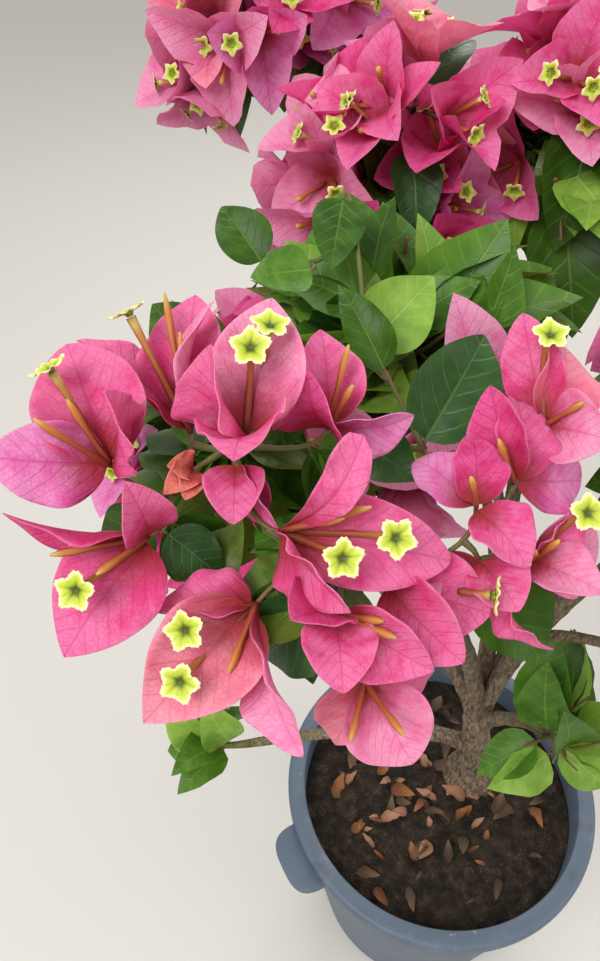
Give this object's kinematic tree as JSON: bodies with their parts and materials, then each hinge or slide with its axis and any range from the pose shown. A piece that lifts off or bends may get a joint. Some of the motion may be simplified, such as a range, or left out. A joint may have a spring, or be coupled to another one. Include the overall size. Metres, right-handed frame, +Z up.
{
  "type": "potted bougainvillea bush",
  "caption": "Bougainvillea bush with masses of hot pink three-bract blooms over green leaves, on a short leaning trunk in a round grey-blue plastic pot",
  "frame": {"origin": "centre of the pot's flat underside", "axes": "+Z up, -Y the front of the bush, +X to its right seen from the front"},
  "size_m": [0.5629, 0.5185, 0.9345],
  "materials": {
    "pot_plastic": "matte grey-blue moulded plastic, dusty and lightly scuffed",
    "soil": "moist dark crumbly soil with fallen leaves",
    "bark": "rough grey-brown bark with fine cracks",
    "blooms_and_leaves": "thin papery hot pink bracts with fine veins, among soft satin green leaves",
    "leaves": "soft satin green leaves with a faint gloss"
  },
  "bodies": {
    "root": {"pot": "pot_plastic", "soil": "soil", "trunk": "bark", "bough_flowering_spray": "bark", "bough_left": "bark", "bough_top_right": "bark", "bough_far_right_top": "bark", "bough_front_right_top": "bark", "bough_leafy_middle": "bark", "bough_top_left": "bark", "bough_low_left_back": "bark", "bough_top_middle": "bark", "bough_back": "bark", "bough_back_left": "bark", "bough_right": "bark", "bough_low_right_back": "bark", "bough_low_front_right": "bark", "bough_low_leafy": "bark", "bough_low_left_shoot": "bark", "flowering_spray": "blooms_and_leaves", "mass_left": "blooms_and_leaves", "mass_top_right": "blooms_and_leaves", "mass_far_right_top": "blooms_and_leaves", "mass_front_right_top": "blooms_and_leaves", "mass_leafy_middle": "blooms_and_leaves", "mass_top_left": "blooms_and_leaves", "mass_low_left_back": "blooms_and_leaves", "mass_top_middle": "blooms_and_leaves", "mass_back": "blooms_and_leaves", "mass_back_left": "blooms_and_leaves", "mass_right": "blooms_and_leaves", "mass_low_right_back": "blooms_and_leaves", "mass_low_front_right": "blooms_and_leaves", "mass_low_leafy": "leaves", "mass_low_left_shoot": "leaves"}
  },
  "joints": []
}
